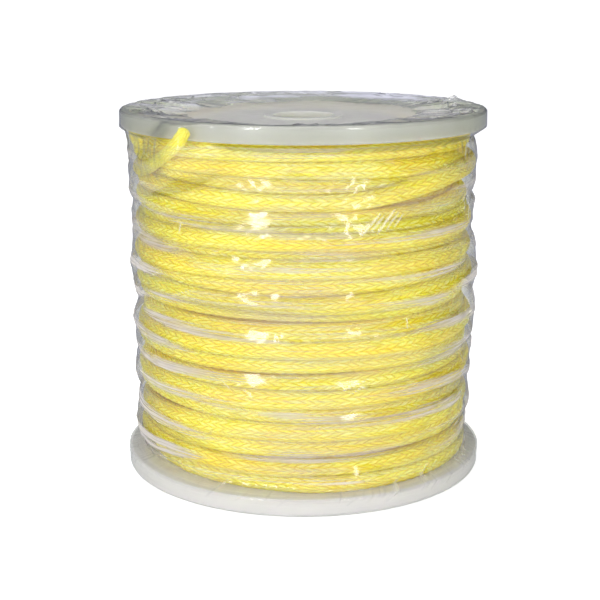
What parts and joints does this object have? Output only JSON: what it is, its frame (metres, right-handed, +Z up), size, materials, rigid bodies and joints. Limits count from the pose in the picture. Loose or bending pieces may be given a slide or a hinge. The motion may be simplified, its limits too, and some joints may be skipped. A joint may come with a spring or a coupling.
{
  "type": "spool of braided line",
  "caption": "Spool of bright yellow braided line between two rimmed translucent flanges, wrapped in clear shrink film, with a bore for an axle.",
  "frame": {"origin": "middle of the face that the spool stands on, on the spool's axis", "axes": "+Z up along the spool's axis, -Y towards the front, +X to the right; the line's free end climbs over the upper rim at the front left"},
  "size_m": [0.0704, 0.0704, 0.0704],
  "materials": {
    "spool_plastic": "natural milky polypropylene, satin, slightly see-through",
    "yellow_line": "round plait of glossy yellow yarns",
    "clear_film": "clear glossy shrink film, wrinkled"
  },
  "bodies": {
    "root": {"lower_flange": "spool_plastic", "upper_flange": "spool_plastic", "barrel": "spool_plastic", "wound_line": "yellow_line", "line_start": "yellow_line", "start_knot": "yellow_line", "line_tail": "yellow_line", "shrink_film": "clear_film"}
  },
  "joints": []
}
